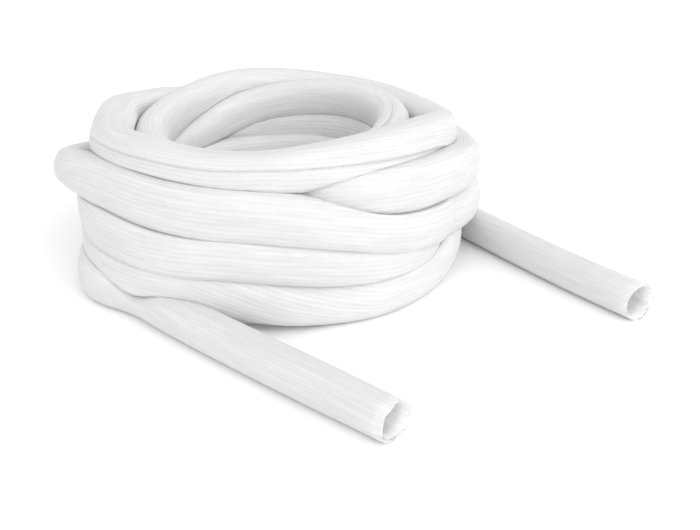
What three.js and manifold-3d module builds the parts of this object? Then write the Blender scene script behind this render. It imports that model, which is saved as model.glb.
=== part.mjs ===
// A ten metre length of white woven cable sleeve, wound in a loose round coil with both cut ends
// lying free on the floor. The sleeve is slit along its length and its two edges overlap.
// Lengths are in millimetres and Z is up. The coil and the ends rest on Z = 0, and both free ends
// point towards +X. The origin is at the middle of the whole part's outline, on the floor.

import * as THREE from 'three';
import { mergeVertices } from 'three/addons/utils/BufferGeometryUtils.js';
import Module from 'manifold-3d';

const wasm = await Module();
wasm.setup();

// The sleeve
const sleeveDiameter = 25;
const sleeveWall = 1;
const edgeGap = 0.4;

// The wound turns: the middle of the outermost turn, and how far each layer's outermost turn lies
// outside that, listed from the floor up
const coilTurnRadius = 131;
const layerBulge = [0, 0, 1, 8, -7];
const turnsAcross = 3;
const layerSettle = 1;
const turnSettle = 1;
const pressedFlat = 0.4;

// The free ends: where each leaves the coil, and the points that it follows from there, measured
// along its way and towards the outside of the coil
const frontLeaveBulge = -2;
const frontLeaveAngle = THREE.MathUtils.degToRad(-83.8);
const frontEndPoints = [
  [0, 0], [30, 0], [60, 0.4], [90, 0.8], [120, 0.9], [150, 0.6], [180, 0.2], [210, 0], [234, 0],
];
const rearLeaveBulge = 13;
const rearLeaveAngle = THREE.MathUtils.degToRad(82.9);
const rearEndPoints = [
  [0, 0], [30, 0], [60, -0.3], [90, -0.8], [120, -1], [150, -0.8], [180, 0.2], [210, 2], [231, 4],
];
const bulgeTurn = THREE.MathUtils.degToRad(36);
const joinThickness = 4;
const solidClearance = 0.3;

// Fineness of the facets
const sleeveSides = 15;
const overlapSides = 3;
const tuckSides = 3;
const seamSide = 13;
const turnArcStep = THREE.MathUtils.degToRad(30);
const coilSegments = 40;
const routeSteps = 5;
const joinSteps = 3;

const sleeveRadius = sleeveDiameter / 2;
const sideAngle = 2 * Math.PI / sleeveSides;
const layers = layerBulge.length;
const outerTurnRadius = layerBulge.map((bulge) => coilTurnRadius + bulge);
const layerPitch = sleeveDiameter - layerSettle;
const turnPitch = sleeveDiameter - turnSettle;
const frontLeaveRadius = outerTurnRadius[0] + frontLeaveBulge;
const rearLeaveRadius = outerTurnRadius[0] + rearLeaveBulge;

const wovenPlastic = new THREE.MeshStandardMaterial({ color: 0xf2f2f0, roughness: 0.6, metalness: 0 });

// The height of a sleeve's middle when one of its flat facets lies on the floor.
function restingHeight() {
  return sleeveRadius * Math.cos(sideAngle / 2);
}

// Adds the outside of one turn, as an arc about its middle, to the outline of the wound section.
function addTurn(outline, turn, from, to) {
  const steps = Math.ceil((to - from) / turnArcStep);
  for (let i = 0; i <= steps; i++) {
    const angle = from + (to - from) * i / steps;
    const point = new THREE.Vector2(
      turn.middle + turn.radius * Math.cos(angle),
      turn.height + turn.radius * Math.sin(angle),
    );
    const last = outline[outline.length - 1];
    if (!last || last.distanceTo(point) > solidClearance) {
      outline.push(point);
    }
  }
}

// Adds a turn of the lowest layer, whose underside is pressed flat. floor is the angle straight down.
function addFloorTurn(outline, turn, from, to, floor) {
  const flatHalf = Math.acos(turn.height / turn.radius);
  addTurn(outline, turn, from, floor - flatHalf);
  addTurn(outline, turn, floor + flatHalf, to);
}

// The section through the wound turns: every turn on its boundary shows as a round bulge, and the
// undersides are pressed flat on the floor. turnRadius is that of the corners of each round turn.
function coilOutline(turnRadius) {
  const outline = [];
  const sideMeet = Math.acos(layerPitch / 2 / turnRadius);
  const topMeet = Math.acos(turnPitch / 2 / turnRadius);
  const quarter = Math.PI / 2;
  const turn = (layer, column) => ({
    middle: outerTurnRadius[layer] - column * turnPitch,
    height: sleeveRadius - pressedFlat + layer * layerPitch,
    radius: turnRadius,
  });
  const top = layers - 1;
  const inmost = turnsAcross - 1;
  addFloorTurn(outline, turn(0, 0), topMeet - 2 * quarter, quarter - sideMeet, -quarter);
  for (let layer = 1; layer < top; layer++) {
    addTurn(outline, turn(layer, 0), sideMeet - quarter, quarter - sideMeet);
  }
  addTurn(outline, turn(top, 0), sideMeet - quarter, 2 * quarter - topMeet);
  for (let column = 1; column < inmost; column++) {
    addTurn(outline, turn(top, column), topMeet, 2 * quarter - topMeet);
  }
  addTurn(outline, turn(top, inmost), topMeet, 3 * quarter - sideMeet);
  for (let layer = top - 1; layer > 0; layer--) {
    addTurn(outline, turn(layer, inmost), quarter + sideMeet, 3 * quarter - sideMeet);
  }
  addFloorTurn(outline, turn(0, inmost), quarter + sideMeet, 4 * quarter - topMeet, 3 * quarter);
  for (let column = inmost - 1; column > 0; column--) {
    addFloorTurn(outline, turn(0, column), 2 * quarter + topMeet, 4 * quarter - topMeet, 3 * quarter);
  }
  outline.push(outline[0].clone());
  return outline;
}

// All the wound turns as one turned body with its bore.
function coilBody(turnRadius) {
  const body = new THREE.LatheGeometry(coilOutline(turnRadius), coilSegments);
  body.rotateX(Math.PI / 2);
  return body;
}

// A point of a free end's way. side is 1 where the sleeve travels anticlockwise as it leaves the
// coil, and -1 where it leaves clockwise.
function endPoint(leaveRadius, leaveAngle, side, along, outward) {
  const start = new THREE.Vector2(Math.cos(leaveAngle), Math.sin(leaveAngle));
  const heading = new THREE.Vector2(-side * start.y, side * start.x);
  return new THREE.Vector3(
    start.x * (leaveRadius + outward) + heading.x * along,
    start.y * (leaveRadius + outward) + heading.y * along,
    restingHeight(),
  );
}

// How far along its way a free end stands out of the outermost turn by the joint's least thickness.
function startOfJoin(leaveRadius) {
  const reach = outerTurnRadius[0] + joinThickness;
  return Math.sqrt(Math.max(0, reach * reach - leaveRadius * leaveRadius));
}

// The stretch where an end bulges out of the coil before it leaves, from its least thickness there.
function bulgePoints(leaveRadius, leaveAngle, side) {
  const points = [];
  const bulge = leaveRadius - outerTurnRadius[0];
  const first = Math.sqrt(Math.max(0, 1 - joinThickness / Math.max(bulge, joinThickness)));
  for (let i = 0; i < joinSteps && first > 0; i++) {
    const share = first * (1 - i / joinSteps);
    const angle = leaveAngle - side * bulgeTurn * share;
    const radius = leaveRadius - bulge * share * share;
    points.push(new THREE.Vector3(radius * Math.cos(angle), radius * Math.sin(angle), restingHeight()));
  }
  return points;
}

// How far along its way a free end is when its own side has cleared the wound turns.
function clearOfCoil(leaveRadius) {
  const reach = Math.max(...outerTurnRadius) + 2 * sleeveRadius + solidClearance;
  return Math.sqrt(reach * reach - leaveRadius * leaveRadius);
}

// The way of a free end between two distances from where it leaves the coil.
function endStretch(points, leaveRadius, leaveAngle, side, from, to, steps) {
  const way = points.map(([along, outward]) => endPoint(leaveRadius, leaveAngle, side, along, outward));
  const whole = new THREE.CatmullRomCurve3(way, false, 'centripetal');
  const length = whole.getLength();
  const stretch = [];
  for (let i = 0; i <= steps; i++) {
    const distance = from + (Math.min(to, length) - from) * i / steps;
    stretch.push(whole.getPointAt(distance / length));
  }
  return stretch;
}

// The full round section, for the stretch that lies against the coil.
function roundSection() {
  const section = new THREE.Shape();
  for (let i = 0; i < sleeveSides; i++) {
    const angle = (i + 0.5) * sideAngle;
    const place = [sleeveRadius * Math.cos(angle), sleeveRadius * Math.sin(angle)];
    if (i === 0) {
      section.moveTo(...place);
    } else {
      section.lineTo(...place);
    }
  }
  section.closePath();
  return section;
}

// The slit sleeve's section: one strip bent round until its second edge lies under the first.
function slitSection() {
  const outside = [];
  const inside = [];
  const tuck = sleeveWall + edgeGap;
  for (let i = 0; i <= sleeveSides + overlapSides; i++) {
    const tucked = THREE.MathUtils.clamp((i - sleeveSides + tuckSides) / tuckSides, 0, 1);
    const angle = (seamSide + 0.5 + i) * sideAngle;
    const direction = new THREE.Vector2(Math.cos(angle), Math.sin(angle));
    const radius = sleeveRadius - tuck * tucked;
    outside.push(direction.clone().multiplyScalar(radius));
    inside.push(direction.clone().multiplyScalar(radius - sleeveWall));
  }
  return new THREE.Shape([...outside, ...inside.reverse()]);
}

function extrudeAlong(section, points) {
  const path = new THREE.CatmullRomCurve3(points, false, 'centripetal');
  return new THREE.ExtrudeGeometry(section, { extrudePath: path, steps: points.length - 1 });
}

// A closed mesh as a solid that can be joined, and back.
function toSolid(geometry) {
  const bare = geometry.clone();
  bare.deleteAttribute('normal');
  bare.deleteAttribute('uv');
  const merged = mergeVertices(bare);
  return new wasm.Manifold(new wasm.Mesh({
    numProp: 3,
    vertProperties: new Float32Array(merged.attributes.position.array),
    triVerts: new Uint32Array(merged.index.array),
  }));
}

function toGeometry(solid) {
  const mesh = solid.getMesh();
  const geometry = new THREE.BufferGeometry();
  geometry.setAttribute('position', new THREE.BufferAttribute(mesh.vertProperties, 3));
  geometry.setIndex(new THREE.BufferAttribute(mesh.triVerts, 1));
  geometry.computeVertexNormals();
  return geometry;
}

// The wound turns with the clearance that a free end's solid keeps to them, measured at their flats.
function coilWithClearance() {
  return coilBody((sleeveRadius + solidClearance) / Math.cos(turnArcStep / 2));
}

// A free end. Where it still lies against the wound turns it is full and shaped to them, and from
// where it has cleared them to its cut mouth it is the hollow slit sleeve.
function makeEnd(points, leaveRadius, leaveAngle, side) {
  const clear = clearOfCoil(leaveRadius);
  const way = [points, leaveRadius, leaveAngle, side];
  const joining = [
    ...bulgePoints(leaveRadius, leaveAngle, side),
    ...endStretch(...way, startOfJoin(leaveRadius), clear, joinSteps),
  ];
  const open = endStretch(...way, clear, Infinity, routeSteps);
  const root = toSolid(extrudeAlong(roundSection(), joining)).subtract(toSolid(coilWithClearance()));
  return toGeometry(root.add(toSolid(extrudeAlong(slitSection(), open))));
}

function namedMesh(name, geometry) {
  const mesh = new THREE.Mesh(geometry, wovenPlastic);
  mesh.name = name;
  return mesh;
}

const sleeve = new THREE.Group();
sleeve.add(namedMesh('coiled_sleeve', coilBody(sleeveRadius)));
sleeve.add(namedMesh('front_end', makeEnd(frontEndPoints, frontLeaveRadius, frontLeaveAngle, 1)));
sleeve.add(namedMesh('rear_end', makeEnd(rearEndPoints, rearLeaveRadius, rearLeaveAngle, -1)));

const middle = new THREE.Box3().setFromObject(sleeve, true).getCenter(new THREE.Vector3());
sleeve.position.set(-middle.x, -middle.y, 0);

export default sleeve;
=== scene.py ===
import math
import bpy
import numpy as np
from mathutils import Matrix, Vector


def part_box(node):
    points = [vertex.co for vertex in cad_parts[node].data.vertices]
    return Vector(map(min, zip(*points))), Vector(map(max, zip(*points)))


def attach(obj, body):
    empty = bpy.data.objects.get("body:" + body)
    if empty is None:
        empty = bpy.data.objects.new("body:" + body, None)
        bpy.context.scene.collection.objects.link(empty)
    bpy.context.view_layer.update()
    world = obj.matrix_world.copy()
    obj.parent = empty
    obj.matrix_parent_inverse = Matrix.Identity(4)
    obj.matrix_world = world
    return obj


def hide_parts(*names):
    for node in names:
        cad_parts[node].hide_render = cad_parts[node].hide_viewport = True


# A ten metre length of white woven sleeve, wound in a loose coil, with both cut ends lying free.
# Metres throughout, but for the turns below. Plan angles are about the coil's axis: 0 is to the
# right of the picture and 90 is away from the camera.

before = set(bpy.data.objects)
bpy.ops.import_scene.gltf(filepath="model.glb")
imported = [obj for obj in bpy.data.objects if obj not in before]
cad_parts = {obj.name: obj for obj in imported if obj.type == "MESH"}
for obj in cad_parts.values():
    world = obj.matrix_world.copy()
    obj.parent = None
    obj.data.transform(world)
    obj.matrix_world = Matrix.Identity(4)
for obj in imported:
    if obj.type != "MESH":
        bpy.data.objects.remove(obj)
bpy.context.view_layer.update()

MM = 0.001
FULL_TURN = 360

SLEEVE_DIAMETER = 0.025
SLEEVE_RADIUS = SLEEVE_DIAMETER / 2

coil_low, coil_high = (Vector(corner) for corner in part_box("coiled_sleeve"))
COIL_AXIS = (coil_low + coil_high) / 2

# The camera: where it stands about the coil's axis, how far it looks down, and what it looks at
CAMERA_AZIMUTH = math.radians(49)
CAMERA_DOWN = math.radians(24.64)
CAMERA_DISTANCE = 0.700
CAMERA_AIM = Vector((0.0740, -0.0295, 0.040))
LENS = 55.41
SENSOR = 36.0

# The studio: its brightness all round, and its lamps, each as a name, how far it stands to the
# right, to the front and up, how wide it is in degrees, and its strength
STUDIO_BRIGHTNESS = 0.93
LAMPS = [
    ("front_fill", (0.35, 0.88, 0.55), 50, 1.22),
    ("right_fill", (0.9, 0.3, 0.55), 60, 0.35),
]
FLOOR_HALF = 6.0
FLOOR_COLOUR = (0.98, 0.98, 0.98, 1)
FLOOR_ROUGHNESS = 0.9

# The height of the middle of a stretch that lies on the floor, and how far its outside stays above
LYING_HEIGHT = 0.0123
FLOOR_CLEARANCE = 0.0002

# The free ends: radius and angle where each leaves the coil, which way it travels there, and its
# points, measured along its way and towards the outside of the coil
FRONT_LEAVES = (0.129, math.radians(-83.8), 1)
FRONT_END = [
    (0, 0), (0.030, 0), (0.060, 0.0004), (0.090, 0.0008), (0.120, 0.0009), (0.150, 0.0006),
    (0.180, 0.0002), (0.210, 0), (0.234, 0),
]
REAR_LEAVES = (0.144, math.radians(82.9), -1)
REAR_END = [
    (0, 0), (0.030, 0), (0.060, -0.0003), (0.090, -0.0008), (0.120, -0.0010), (0.150, -0.0008),
    (0.180, 0.0002), (0.210, 0.002), (0.231, 0.004),
]

# How the turns lie, in millimetres: for each turn from the rear end, the places where it moves
# outwards, inwards, up or down, each as (plan angle, radius, height). Between them the way is smooth.
LOW = LYING_HEIGHT / MM
TURNS = [
    # From the rear end, along the floor and inwards
    [
        (33.9, 144, LOW), (60, 143, LOW), (90, 140, LOW), (120, 128, LOW), (150, 114, LOW),
        (180, 107, LOW), (270, 107, LOW), (315, 104, LOW),
    ],
    # Hidden inside the coil
    [
        (0, 100, LOW), (45, 94, LOW), (90, 91, LOW), (135, 86, LOW), (180, 83, LOW), (270, 83, 13),
        (315, 84, 18),
    ],
    [
        (0, 86, 28), (45, 90, 36), (90, 90, 37), (180, 82, 37), (270, 83, 37), (315, 92, 38),
    ],
    [
        (0, 104, 37), (45, 110, 36), (90, 108, 36), (180, 104, 37), (270, 106, 38), (315, 106, 46),
    ],
    [
        (0, 106, 58), (45, 112, 60), (90, 112, 60), (180, 104, 60), (270, 106, 61), (315, 98, 60),
    ],
    [
        (0, 88, 56), (45, 88, 49), (90, 90, 49), (135, 86, 52), (180, 82, 58), (270, 83, 60),
        (315, 86, 64),
    ],
    # Up the inside of the coil
    [
        (0, 90, 73), (45, 93, 74), (90, 93, 73), (135, 93, 66), (180, 86, 66), (225, 90, 76),
        (270, 86, 84), (315, 88, 92),
    ],
    # Round the top of the bore, then down and outwards
    [
        (0, 91, 99), (13, 92, 101), (50, 92, 101), (75, 90, 98), (98, 91, 91), (120, 87, 82),
        (142, 80, 76), (165, 80, 74), (200, 86, 74), (270, 107, 66), (330, 112, 70),
    ],
    # Low at the back, then uppermost at the left, where it folds, and at the front
    [
        (0, 116, 78), (45, 116, 78), (80, 113, 79), (101, 111, 85), (122, 107, 94), (136, 107, 97),
        (153, 109, 99), (164, 109, 101.5), (174, 107.5, 103), (184, 106.5, 103.5),
        (192, 106.3, 103.5), (199, 109, 104), (206, 114.8, 105.5), (226, 122, 111.5),
        (237, 122, 111.8), (254, 122, 108), (270, 122, 107.4), (284, 122, 109.8), (299, 122, 112),
        (315, 122, 113), (332, 122, 110.5), (345, 123, 105.5), (355, 125, 101.5),
    ],
    # Uppermost at the back, inside at the left, and under the turn before it at the front
    [
        (10, 118.5, 98), (33, 113, 97), (48, 113, 97), (61, 113, 97), (80, 114, 98),
        (91, 114, 98.5), (103, 112, 97.5), (114, 107, 96.5), (127, 98, 97), (148, 85, 98),
        (170, 79, 98), (196, 83, 96), (220, 92, 92), (250, 104, 87), (270, 109, 87),
        (283, 113, 88.5), (294, 121, 89.2), (307, 128, 88.3), (321, 132, 86.2), (332, 134, 85.2),
        (350, 140.5, 80.5),
    ],
    # Stands out at the left
    [
        (0, 142, 77), (20, 139.5, 75), (45, 139, 76), (90, 134, 77), (130, 121, 69), (150, 111, 66),
        (165, 110, 67), (176, 117, 71), (185, 130, 75.5), (196, 140.5, 81.8), (203, 138.5, 84.4),
        (214, 131.5, 87.6), (224, 129, 88.2), (232, 128.8, 86.9), (240, 129.3, 85.4),
        (254, 130.3, 84), (272, 131, 82), (283, 131.8, 78.3), (294, 132.2, 72), (310, 132.5, 61),
        (326, 132, 54.3), (342, 132, 49), (354, 139, 46),
    ],
    # Stands out at the right
    [
        (4, 146, 43), (15, 148.5, 41), (30, 146, 40), (60, 138, 44), (90, 134, 54), (150, 128, 60),
        (180, 124.5, 60), (195, 124.5, 59.5), (205, 127, 59), (214, 130, 58), (224, 131, 57),
        (237, 131, 54.7), (252, 129.5, 54), (261, 128.5, 54.8), (273, 128, 51.8), (283, 128, 49.2),
        (295, 127.5, 44.5), (305, 127, 39.5), (318, 125.5, 34.8), (330, 125, 32.2),
        (342, 121.5, 30.5),
    ],
    # Inside at the right, and low at the front
    [
        (0, 113, 31), (30, 112, 32), (60, 116, 36), (90, 126, 38), (150, 126, 36), (180, 124.5, 36),
        (195, 124.5, 33.5), (205, 127, 30), (214, 130, 27.5), (224, 130.5, 24.5),
        (234, 129.5, 22.5), (245, 128, 25.5), (256, 127, 27.5), (267, 126.5, 24.5),
        (278, 126, 19.5), (290, 124, 15.9), (300, 126, 14.3), (312, 128, 14.1), (326, 127, 14.2),
        (334, 127, 16), (341, 127.5, 20.5), (350, 128, 25),
    ],
    # The lowest turn, which runs into the front end
    [
        (0, 127.5, 28), (12, 124, 25), (28, 120, 19), (45, 118, 14), (70, 116, 14), (95, 116, 18),
        (115, 121, 24), (135, 124, 20), (155, 125.5, 14), (175, 125.5, LOW), (193, 126, LOW),
        (203, 130.5, LOW), (209, 134.5, LOW), (215, 136, LOW), (221, 134, LOW), (227.2, 129, LOW),
    ],
]
ANGLE_STEP = 2.0

# The soft section, by count of turns: its share of the room between it and a neighbour, how far it
# would reach up, down and sideways by itself, as shares of its radius, and how square it is, 2 being
# round. The counts go on past both ends of the coil along the free ends, by END_COUNT a metre.
END_COUNT = 1.0
SHAPE = [
    # The rear end and the hidden turns
    (-0.14, 1, 1.02, 1, 1.05, 2.05), (-0.06, 1, 1, 1, 1, 2.1), (0.15, 1, 1, 1, 1.03, 2.2),
    (0.6, 1, 1.3, 1.3, 1, 2.8), (6.8, 1, 1.3, 1.3, 1, 2.8),
    # Inside the coil
    (7.0, 1, 1, 1.3, 1, 2.4),
    # The turn that is uppermost at the left, where it folds, and at the front
    (8.38, 1, 0.96, 1.25, 1, 2.2), (8.43, 0.95, 1, 1.25, 1.06, 2.8),
    (8.47, 0.9, 1.08, 1.3, 1.12, 4.2), (8.50, 0.85, 1.08, 1.35, 1.12, 4.2),
    (8.53, 0.8, 1.05, 1.42, 1.25, 3.0), (8.56, 0.74, 1.02, 1.42, 1.18, 2.5),
    (8.60, 0.7, 1.02, 1.42, 0.99, 2.6), (8.65, 0.66, 0.93, 1.42, 1, 2.9),
    (8.70, 0.64, 0.95, 1.42, 1, 2.9), (8.755, 0.76, 1, 1.42, 1, 2.8), (8.82, 0.8, 1, 1.42, 1, 2.7),
    (8.87, 0.85, 1.03, 1.42, 1, 2.5), (8.93, 0.9, 1.05, 1.42, 1, 2.3),
    # The next turn, under that one at the front
    (9.1, 1, 1, 1.3, 1, 2.4), (9.3, 1, 1, 1.3, 1, 2.2), (9.6, 1, 1.2, 1.3, 1, 2.4),
    (9.75, 1.1, 1.42, 1.42, 1, 2.9), (9.87, 1.08, 1.42, 1.42, 1, 2.8),
    (9.93, 1.12, 1.3, 1.42, 1, 2.7), (9.98, 1.1, 1.12, 1.4, 1, 2.8),
    # The turn that stands out at the left, and is pinched at the right
    (10.1, 1, 1.1, 1.3, 1, 2.4), (10.45, 1, 1, 1.1, 1, 2.4), (10.52, 0.9, 1.08, 0.82, 0.98, 2.2),
    (10.56, 0.95, 1.15, 0.92, 0.98, 2.3), (10.6, 1.05, 1.3, 1.4, 0.97, 2.8),
    (10.645, 1.12, 1.42, 1.42, 0.97, 3.2), (10.667, 1.15, 1.42, 1.42, 0.97, 3.2),
    (10.705, 1.16, 1.42, 1.42, 0.98, 3.2), (10.755, 0.98, 1.42, 1.42, 0.98, 2.5),
    (10.82, 0.76, 1.42, 1.42, 0.97, 2.3), (10.86, 0.76, 1.42, 1.42, 0.98, 2.3),
    (10.925, 0.85, 1.42, 1.42, 1, 2.4), (10.942, 1, 1.3, 1.42, 0.80, 2.3),
    (10.965, 1.1, 1.3, 1.42, 1.04, 2.4),
    # The turn that stands out at the right
    (11.0, 1, 1.3, 1.42, 1, 2.4), (11.1, 1, 1.3, 1.3, 1, 2.4), (11.5, 0.95, 1.42, 1.42, 1, 2.6),
    (11.645, 0.96, 1.42, 1.42, 1.02, 3.2), (11.66, 0.94, 1.42, 1.42, 1.02, 3.2),
    (11.70, 0.96, 1.42, 1.42, 1.02, 3.2), (11.755, 1.02, 1.42, 1.42, 1, 2.4),
    (11.82, 1.08, 1.42, 1.42, 1.02, 2.3), (11.87, 0.98, 1.42, 1.42, 1.02, 2.6),
    (11.95, 0.92, 1.42, 1.42, 1.05, 2.6),
    # The turn below that
    (12.0, 0.9, 1.3, 1.3, 1, 2.6), (12.5, 0.95, 1.42, 1.42, 1, 2.6),
    (12.65, 1.1, 1.42, 1.42, 1, 3.1), (12.70, 1.0, 1.42, 1.3, 1, 2.9),
    (12.755, 1.35, 1.42, 1.25, 1, 2.4), (12.80, 1.5, 1.42, 1.18, 1, 2.2),
    (12.90, 1.5, 1.42, 1.16, 1, 2.2), (12.95, 1.4, 1.42, 1.15, 1.02, 2.3),
    # The lowest turn, and the front end with the pinch where it leaves
    (13.0, 1, 1.3, 1.1, 1, 2.4), (13.5, 1, 1.3, 1, 1, 2.4), (13.56, 1.8, 1.42, 1, 1, 2.5),
    (13.60, 2.1, 1.42, 1, 1, 2.4), (13.617, 1.7, 1.3, 1, 1, 2.3), (13.630, 1, 0.8, 1, 0.94, 2.1),
    (13.642, 0.5, 0.42, 1, 0.92, 2.0), (13.652, 0.65, 0.6, 1, 0.98, 2.0),
    (13.666, 1, 1.0, 1, 1.06, 2.1), (13.70, 1, 1.05, 1, 1.1, 2.2), (13.80, 1, 1.03, 1, 1.12, 2.15),
    (13.845, 1, 1.0, 1, 1.03, 2.1), (13.87, 1, 1, 1, 1.0, 2.05),
]
LONGEST_REACH = 1.43

# Where the flap's edge lies round the section, by count of turns: 0 faces outwards, 90 up
SEAM = [
    (0.0, -75), (0.6, -20), (2, 60), (4, 120), (6, 60), (6.9, 100), (7.6, 60), (8.35, 60),
    (8.55, 28), (8.65, 14), (8.70, 20), (8.755, 24), (8.82, 2), (8.87, -14), (8.93, -22),
    (9.05, -60), (9.5, -80), (11.0, -70), (12.7, -70), (12.85, -160), (13.2, -160), (13.45, -60),
    (13.7, -120),
]

# Settling: the turns push each other apart to this distance, and those that show hold their place.
# Stretches nearer than OWN_STRETCH along the way are one turn, which doesn't push itself.
TOUCHING = 0.0218
OWN_STRETCH = 3 * SLEEVE_DIAMETER
SETTLE_STEP = 0.010
SETTLE_ROUNDS = 220
SEARCH_ROUNDS = 10
SEARCH_REACH = 2 * SLEEVE_DIAMETER
PUSH_SHARE = 0.3
STIFFNESS = 0.25
HIDDEN_TURNS = 6.6
SHOWN_FIRST = 0.6
FREE_HOLD = 0.004
SHOWN_HOLD = 0.08
SHOWN_YIELD = 0.25
SMOOTHING_ROUNDS = 2
TINY = 1e-9

# The sleeve's section: a strip with ribs along it, bent round until its edges lap. The last ribs
# before the lap tuck under the strip's outer edge. A rib has RIB_COLUMNS columns of points, and
# the inside has one column for every INSIDE_COARSER of the outside.
WALL = 0.0008
RIBS = 36
RIB_HEIGHT = 0.00010
RIB_COLUMNS = 2
OVERLAP_RIBS = 5
TUCK_RIBS = 2
LAP_GAP = 0.0003
INSIDE_COARSER = 5
SHOWN_RING_STEP = 0.0084
HIDDEN_RING_STEP = 0.0130
PRESS_REACH = 0.0350
PRESS_GAP = 0.00003

# The cut rims: waves round them as (height, waves round, phase, further phase at the front end),
# and how far the strip's two corners are worn back, each with how wide
RIM_WAVES = [
    (0.0009, 1, -1.1, -2.2), (0.0006, 2, 0.7, 1), (0.0004, 5, 0, 2), (0.00035, 9.3, 0, 1),
    (0.0002, 23.7, 0, 0), (0.00015, 31.1, 1, 0),
]
OUTER_CORNER = (0.0022, 0.16)
INNER_CORNER = (0.0015, 0.2)

# The woven plastic. Streaks are given as their length and width.
OUTSIDE_BRIGHTNESS = 0.55
# The inside is the same plastic made brighter: painted light that lifts the shaded bore and mouths
PAINTED_LIGHT_INSIDE_BRIGHTNESS = 0.68
ROUGHNESS = 0.55
SPECULAR = 0.3
GLOW_WEIGHT = 0.5
GLOW_DEPTH = 0.002
WEFT_PITCH = 0.0014
LONG_STREAKS = (0.030, 0.0022)
SHORT_STREAKS = (0.004, 0.0009)
WIDE_STREAKS = (0.060, 0.0045)
STREAK_DETAIL = 3
RIB_RELIEF = 0.55
STREAK_RELIEF = 1.1
WEFT_RELIEF = 0.25
# How much the colour follows the relief: painted shade in the grooves between ribs and threads, plus
# random variation along the short streaks
RELIEF_PAINTED_SHADE = 0.055
LONG_TONE = 0.13
WIDE_TONE = 0.12
BUMP_STRENGTH = 0.8
BUMP_DEPTH = 0.00025


def make_camera():
    """A camera at the photograph's angle. It looks along the coil's plan by CAMERA_AZIMUTH."""
    look = Vector((
        -math.sin(CAMERA_AZIMUTH) * math.cos(CAMERA_DOWN),
        math.cos(CAMERA_AZIMUTH) * math.cos(CAMERA_DOWN),
        -math.sin(CAMERA_DOWN),
    ))
    data = bpy.data.cameras.new("view")
    data.lens = LENS
    data.sensor_width = SENSOR
    data.sensor_fit = "HORIZONTAL"
    camera = bpy.data.objects.new("view", data)
    camera.location = CAMERA_AIM - CAMERA_DISTANCE * look
    camera.rotation_euler = look.to_track_quat("-Z", "Y").to_euler()
    bpy.context.scene.collection.objects.link(camera)
    bpy.context.scene.camera = camera


def monotone_curve(x, y, at):
    """A smooth curve through the points that never overshoots them."""
    step = np.diff(x)
    slope = np.diff(y) / step
    tangent = np.zeros(len(x))
    same_way = slope[:-1] * slope[1:] > 0
    before = 2 * step[1:] + step[:-1]
    after = step[1:] + 2 * step[:-1]
    product = np.where(same_way, slope[:-1] * slope[1:], 1)
    mean = (before + after) / (before * slope[1:] + after * slope[:-1] + (~same_way)) * product
    tangent[1:-1] = np.where(same_way, mean, 0)
    piece = np.clip(np.searchsorted(x, at) - 1, 0, len(step) - 1)
    t = (at - x[piece]) / step[piece]
    value = (2 * t ** 3 - 3 * t ** 2 + 1) * y[piece] + (3 * t ** 2 - 2 * t ** 3) * y[piece + 1]
    bend = (t ** 3 - 2 * t ** 2 + t) * tangent[piece] + (t ** 3 - t ** 2) * tangent[piece + 1]
    return value + step[piece] * bend


def coil_way():
    """The wound turns as points about the axis, with the count of turns at each."""
    places = np.array([
        (FULL_TURN * turn + angle, radius, height)
        for turn, rows in enumerate(TURNS) for angle, radius, height in rows
    ])
    angles = np.arange(places[0, 0], places[-1, 0], ANGLE_STEP)
    radius = monotone_curve(places[:, 0], places[:, 1], angles) * MM
    height = monotone_curve(places[:, 0], places[:, 2], angles) * MM
    around = np.radians(angles) + CAMERA_AZIMUTH
    points = np.stack([radius * np.cos(around), radius * np.sin(around), height], -1)
    return points, angles / FULL_TURN


def end_way(leaves, points):
    """A free end's points about the axis, from where it leaves the coil to its mouth."""
    radius, angle, side = leaves
    start = np.array([math.cos(angle), math.sin(angle)])
    heading = side * np.array([-start[1], start[0]])
    plan = [start * (radius + outward) + heading * along for along, outward in points]
    return np.array([(x, y, LYING_HEIGHT) for x, y in plan])


def lengths_along(points):
    """How far along the way each point lies."""
    gaps = np.linalg.norm(np.diff(points, axis=0), axis=1)
    return np.concatenate([[0], np.cumsum(gaps)])


def resampled(points, step):
    """The same way with points about step apart, and each new point's place in the old list."""
    along = lengths_along(points)
    steps = np.broadcast_to(step, len(points))
    paces = np.concatenate([[0], np.cumsum(np.diff(along) / ((steps[1:] + steps[:-1]) / 2))])
    at = np.linspace(0, paces[-1], int(round(paces[-1])) + 1)
    place = np.interp(at, paces, np.arange(len(points)))
    return np.stack([np.interp(at, paces, points[:, i]) for i in range(3)], -1), place


def smoothed(points, rounds):
    """The same way with each point moved towards the middle of its neighbours."""
    for _ in range(rounds):
        points[1:-1] = (points[:-2] + 2 * points[1:-1] + points[2:]) / 4
    return points


def close_pairs(points):
    """Places of the way that lie close to each other, apart from neighbours along it."""
    offset = points[:, None, :] - points[None, :, :]
    first, second = np.nonzero((offset ** 2).sum(-1) < SEARCH_REACH ** 2)
    apart = (second - first) * SETTLE_STEP > OWN_STRETCH
    return first[apart], second[apart]


def pushes(points, first, second):
    """How far each point is pushed by those that it is closer to than TOUCHING."""
    offset = points[first] - points[second]
    distance = np.linalg.norm(offset, axis=1) + TINY
    push = (np.clip(TOUCHING - distance, 0, None) / distance)[:, None] * offset
    total = np.zeros_like(points)
    np.add.at(total, first, push)
    np.add.at(total, second, -push)
    return total


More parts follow.
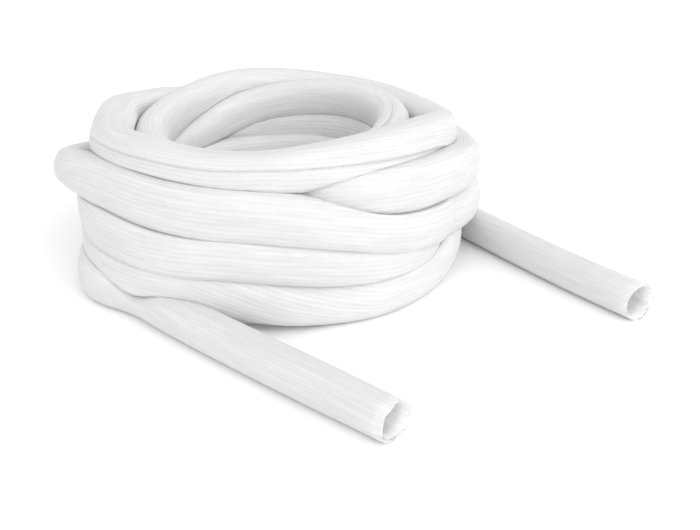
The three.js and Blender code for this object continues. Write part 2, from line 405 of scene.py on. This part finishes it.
def settled(points, turns, fixed):
    """Moves the turns apart where they would pass through each other. The ends keep their place."""
    wanted = points.copy()
    hidden = turns < HIDDEN_TURNS
    hold = np.where(hidden, FREE_HOLD, SHOWN_HOLD)[:, None]
    give = np.where(fixed, 0, np.where(hidden, 1, SHOWN_YIELD))[:, None]
    for settle_round in range(SETTLE_ROUNDS):
        if settle_round % SEARCH_ROUNDS == 0:
            first, second = close_pairs(points)
        moved = points + PUSH_SHARE * give * pushes(points, first, second) - wanted
        moved[1:-1] += STIFFNESS * (moved[:-2] - 2 * moved[1:-1] + moved[2:])
        points = wanted + moved * (1 - hold)
        points[:, 2] = np.maximum(points[:, 2], LYING_HEIGHT)
    return points


def sleeve_way():
    """The middle of the whole sleeve from the rear mouth to the front one, as ring centres."""
    coil, turns = coil_way()
    rear = end_way(REAR_LEAVES, REAR_END)[::-1]
    front = end_way(FRONT_LEAVES, FRONT_END)
    points = np.concatenate([rear[:-1], coil, front[1:]])
    before = turns[0] - END_COUNT * (lengths_along(rear)[-1] - lengths_along(rear)[:-1])
    after = turns[-1] + END_COUNT * lengths_along(front)[1:]
    count = np.concatenate([before, turns, after])
    points, place = resampled(points, SETTLE_STEP)
    count = np.interp(place, np.arange(len(count)), count)
    points = settled(points, count, (count <= turns[0]) | (count >= turns[-1]))
    points = smoothed(points, SMOOTHING_ROUNDS)
    shown = (count > HIDDEN_TURNS) | (count <= SHOWN_FIRST)
    points, place = resampled(points, np.where(shown, SHOWN_RING_STEP, HIDDEN_RING_STEP))
    count = np.interp(place, np.arange(len(count)), count)
    points[:, :2] += np.array(COIL_AXIS[:2])
    return points, count


def frames_along(points):
    """Heading, outward side and up at each ring. The way is never steep, so up stays near upright."""
    heading = np.gradient(points, axis=0)
    heading /= np.linalg.norm(heading, axis=1)[:, None]
    outward = np.cross(heading, [0.0, 0.0, 1.0])
    outward /= np.linalg.norm(outward, axis=1)[:, None]
    return heading, outward, np.cross(outward, heading)


def section():
    """The strip's angles from its outer edge, with the radius of its ribbed outside."""
    column = np.arange((RIBS + OVERLAP_RIBS) * RIB_COLUMNS + 1)
    angles = column * math.pi / RIBS
    past = column - (RIBS - TUCK_RIBS) * RIB_COLUMNS
    tucked = np.clip(past / (TUCK_RIBS * RIB_COLUMNS), 0, 1)
    ribbed = RIB_HEIGHT / 2 * np.cos(column * math.pi)
    return angles, SLEEVE_RADIUS + ribbed - tucked * (WALL + LAP_GAP)


def read_at(table, counts):
    """A table's columns after its first one, read at these counts of turns."""
    columns = np.array(table).T
    return [np.interp(counts, columns[0], column)[:, None] for column in columns[1:]]


def soft_rings(way, turn_at, angles, radius):
    """The outside of every ring as it would be without its neighbours."""
    seam = read_at(SEAM, turn_at)[0]
    rise, sink, deeper, square = read_at(SHAPE, turn_at)[1:]
    around = np.radians(seam) + angles
    rounded = (np.abs(np.cos(around)) ** square + np.abs(np.sin(around)) ** square) ** (1 / square)
    sideways = np.cos(around) / rounded * deeper
    upward = np.sin(around) / rounded * np.where(np.sin(around) > 0, rise, sink)
    reach = np.minimum(1, LONGEST_REACH / np.hypot(sideways, upward)) * radius
    outward, up = frames_along(way)[1:]
    direction = sideways[..., None] * outward[:, None, :] + upward[..., None] * up[:, None, :]
    return way[:, None, :] + direction * reach[..., None]


def pressed(way, rings, share):
    """Flattens each ring where it would reach into a neighbouring turn, between them by their shares."""
    along = lengths_along(way)
    for i, middle in enumerate(way):
        offset = way - middle
        apart = np.abs(along - along[i]) > OWN_STRETCH
        near = apart & ((offset ** 2).sum(1) < PRESS_REACH ** 2)
        if not near.any():
            continue
        distance = np.linalg.norm(offset[near], axis=1)
        aim = offset[near] / distance[:, None]
        upright = np.abs(aim[:, 2])
        own = 1 + (share[i] - 1) * upright
        other = 1 + (share[near] - 1) * upright
        plane = distance * own / (own + other) - PRESS_GAP
        over = np.clip((rings[i] - middle) @ aim.T - plane, 0, None)
        worst = over.argmax(1)
        rings[i] -= over[np.arange(len(over)), worst][:, None] * aim[worst]
    return rings


def ragged_rim(angles, end):
    """How far each point of a cut rim stands out: hand cut, a little slanted and frayed."""
    rim = sum(
        height * np.cos(waves * angles + phase + further * end)
        for height, waves, phase, further in RIM_WAVES
    )
    for (depth, width), corner in ((OUTER_CORNER, angles[0]), (INNER_CORNER, angles[-1])):
        rim = rim - depth * np.exp(-((angles - corner) / width) ** 2)
    return rim[:, None]


def outer_wall(way, turn_at, angles, radius):
    """The sleeve's outside: soft, pressed by its neighbours and the floor, and cut by hand."""
    rings = soft_rings(way, turn_at, angles, radius)
    share = read_at(SHAPE, turn_at)[0][:, 0]
    rings = pressed(way, rings, share)
    rings[..., 2] = np.maximum(rings[..., 2], FLOOR_CLEARANCE)
    heading = frames_along(way)[0]
    rings[0] -= ragged_rim(angles, 0) * heading[0]
    rings[-1] += ragged_rim(angles, 1) * heading[-1]
    return rings


def inner_wall(way, outer):
    """Points a wall's thickness inside these points of the outside."""
    heading = frames_along(way)[0][:, None, :]
    inward = way[:, None, :] - outer
    inward -= (inward * heading).sum(-1, keepdims=True) * heading
    inward /= np.linalg.norm(inward, axis=2)[..., None]
    return outer + inward * WALL


def rim_faces(first_point, outer_count, inside):
    """The faces across the wall at a cut end, each from an inner edge to the outer points over it."""
    faces = []
    for k in range(len(inside) - 1):
        inner = [outer_count + k, outer_count + k + 1]
        outer = range(inside[k + 1], inside[k] + 1)
        faces.append([first_point + column for column in (*inner, *outer)])
    return faces


def sleeve_faces(ring_count, outer_count, inside):
    """Faces from ring to ring all round the strip, and across the wall at both cut ends."""
    columns = outer_count + len(inside)
    faces = []
    for here in range(0, (ring_count - 1) * columns, columns):
        ahead = here + columns
        faces += [
            (here + j, here + (j + 1) % columns, ahead + (j + 1) % columns, ahead + j)
            for j in range(columns)
        ]
    faces += [face[::-1] for face in rim_faces(0, outer_count, inside)]
    return faces + rim_faces((ring_count - 1) * columns, outer_count, inside)


def lay_strip_map(mesh, along, arc):
    """Gives the mesh its places along and across the strip, in metres, for the woven material."""
    layer = mesh.uv_layers.new(name="strip")
    loops = np.zeros(len(mesh.loops), dtype=np.int32)
    mesh.loops.foreach_get("vertex_index", loops)
    places = np.stack([along[loops // len(arc)], arc[loops % len(arc)]], -1)
    layer.data.foreach_set("uv", places.astype(np.float32).ravel())


def make_sleeve(way, turn_at):
    """The whole sleeve as one mesh, with its inside in a second, brighter copy of the material: painted
    light that lifts the shaded bore and mouths.
    """
    angles, radius = section()
    inside = np.arange(len(angles) - 1, -1, -INSIDE_COARSER)
    inside[-1] = 0
    outer = outer_wall(way, turn_at, angles, radius)
    rings = np.concatenate([outer, inner_wall(way, outer[:, inside])], axis=1)
    ring_count, columns = rings.shape[:2]
    mesh = bpy.data.meshes.new("sleeve")
    mesh.from_pydata(rings.reshape(-1, 3).tolist(), [], sleeve_faces(ring_count, len(angles), inside))
    mesh.validate()
    arc = np.concatenate([angles, angles[inside]]) * SLEEVE_RADIUS
    lay_strip_map(mesh, lengths_along(way), arc)
    for polygon in mesh.polygons:
        polygon.use_smooth = True
        polygon.material_index = int(all(v % columns >= len(angles) for v in polygon.vertices))
    mesh.update()
    mesh.materials.append(woven_plastic("woven_plastic", OUTSIDE_BRIGHTNESS))
    # The inside's brighter copy of the plastic is painted light in the bore
    mesh.materials.append(woven_plastic("woven_plastic_inside_painted_light", PAINTED_LIGHT_INSIDE_BRIGHTNESS))
    sleeve = bpy.data.objects.new("sleeve", mesh)
    bpy.context.scene.collection.objects.link(sleeve)
    return sleeve


def calculated(tree, kind, first, second=None):
    """A calculation from numbers or other nodes' results."""
    node = tree.nodes.new("ShaderNodeMath")
    node.operation = kind
    for socket, value in zip(node.inputs, (first, second)):
        if isinstance(value, (int, float)):
            socket.default_value = value
        elif value is not None:
            tree.links.new(value, socket)
    return node.outputs[0]


def weighted_sum(tree, *parts):
    """The sum of parts, each given as a node's result and how much of it counts."""
    weighed = [calculated(tree, "MULTIPLY", value, weight) for value, weight in parts]
    result = weighed[0]
    for part in weighed[1:]:
        result = calculated(tree, "ADD", result, part)
    return result


def wave(tree, source, pitch):
    """Ridges across the direction of source, a pitch apart."""
    return calculated(tree, "COSINE", calculated(tree, "MULTIPLY", source, 2 * math.pi / pitch))


def streaks(tree, strip, size):
    """Uneven streaks of a length and a width."""
    length, width = size
    place = tree.nodes.new("ShaderNodeVectorMath")
    place.operation = "MULTIPLY"
    place.inputs[1].default_value = (1 / length, 1 / width, 1)
    tree.links.new(strip.outputs["UV"], place.inputs[0])
    noise = tree.nodes.new("ShaderNodeTexNoise")
    noise.inputs["Scale"].default_value = 1
    noise.inputs["Detail"].default_value = STREAK_DETAIL
    tree.links.new(place.outputs[0], noise.inputs["Vector"])
    return noise.outputs["Fac"]


def weave(tree, brightness):
    """The relief and the colour of the weave: lengthwise ribs, streaks along them and cross threads. The
    colour is darker where the relief is low, which is painted shade in the grooves between ribs and
    threads, and it varies at random along the streaks.
    """
    strip = tree.nodes.new("ShaderNodeUVMap")
    strip.uv_map = "strip"
    split = tree.nodes.new("ShaderNodeSeparateXYZ")
    tree.links.new(strip.outputs["UV"], split.inputs[0])
    rib = wave(tree, split.outputs[1], math.pi * SLEEVE_DIAMETER / RIBS)
    weft = wave(tree, split.outputs[0], WEFT_PITCH)
    long_streaks = streaks(tree, strip, LONG_STREAKS)
    relief = weighted_sum(
        tree,
        (calculated(tree, "MULTIPLY", rib, long_streaks), RIB_RELIEF),
        (streaks(tree, strip, SHORT_STREAKS), STREAK_RELIEF),
        (calculated(tree, "MULTIPLY", weft, rib), WEFT_RELIEF),
    )
    wide_streaks = streaks(tree, strip, WIDE_STREAKS)
    # Darker where the relief is low, which is painted shade in the grooves; the streaks vary it at random
    tone_and_painted_shade = weighted_sum(tree, (relief, RELIEF_PAINTED_SHADE), (long_streaks, LONG_TONE), (wide_streaks, WIDE_TONE))
    return relief, calculated(tree, "ADD", tone_and_painted_shade, brightness)


def woven_plastic(name, brightness):
    """White woven plastic thread with a soft sheen, that light enters a little way."""
    material = bpy.data.materials.new(name)
    material.use_nodes = True
    tree = material.node_tree
    shader = tree.nodes["Principled BSDF"]
    shader.inputs["Roughness"].default_value = ROUGHNESS
    shader.inputs["Specular IOR Level"].default_value = SPECULAR
    shader.inputs["Subsurface Weight"].default_value = GLOW_WEIGHT
    shader.inputs["Subsurface Radius"].default_value = (1, 1, 1)
    shader.inputs["Subsurface Scale"].default_value = GLOW_DEPTH
    relief, tone_and_painted_shade = weave(tree, brightness)
    tree.links.new(tone_and_painted_shade, shader.inputs["Base Color"])
    bump = tree.nodes.new("ShaderNodeBump")
    bump.inputs["Strength"].default_value = BUMP_STRENGTH
    bump.inputs["Distance"].default_value = BUMP_DEPTH
    tree.links.new(relief, bump.inputs["Height"])
    tree.links.new(bump.outputs[0], shader.inputs["Normal"])
    return material


def make_floor():
    """A plain pale floor."""
    low, high = -FLOOR_HALF, FLOOR_HALF
    corners = [(low, low, 0), (high, low, 0), (high, high, 0), (low, high, 0)]
    mesh = bpy.data.meshes.new("floor")
    mesh.from_pydata(corners, [], [(0, 1, 2, 3)])
    floor = bpy.data.objects.new("floor", mesh)
    bpy.context.scene.collection.objects.link(floor)
    material = bpy.data.materials.new("pale_floor")
    material.use_nodes = True
    shader = material.node_tree.nodes["Principled BSDF"]
    shader.inputs["Base Color"].default_value = FLOOR_COLOUR
    shader.inputs["Roughness"].default_value = FLOOR_ROUGHNESS
    shader.inputs["Specular IOR Level"].default_value = 0
    mesh.materials.append(material)


def make_light():
    """Even white light from all round, and wide soft lamps from the photograph's front and right."""
    world = bpy.data.worlds.new("studio")
    world.use_nodes = True
    background = world.node_tree.nodes["Background"]
    background.inputs["Color"].default_value = (1, 1, 1, 1)
    background.inputs["Strength"].default_value = STUDIO_BRIGHTNESS
    bpy.context.scene.world = world
    right = Vector((math.cos(CAMERA_AZIMUTH), math.sin(CAMERA_AZIMUTH), 0))
    front = Vector((math.sin(CAMERA_AZIMUTH), -math.cos(CAMERA_AZIMUTH), 0))
    for name, (to_right, to_front, up), width, strength in LAMPS:
        data = bpy.data.lights.new(name, "SUN")
        data.angle = math.radians(width)
        data.energy = strength
        lamp = bpy.data.objects.new(name, data)
        towards = right * to_right + front * to_front + Vector((0, 0, up))
        lamp.rotation_euler = (-towards).to_track_quat("-Z", "Y").to_euler()
        bpy.context.scene.collection.objects.link(lamp)


make_camera()
way, turn_at = sleeve_way()
sleeve = make_sleeve(way, turn_at)
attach(sleeve, "root")
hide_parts("coiled_sleeve", "front_end", "rear_end")
make_floor()
make_light()
bpy.context.scene.view_settings.view_transform = "Standard"
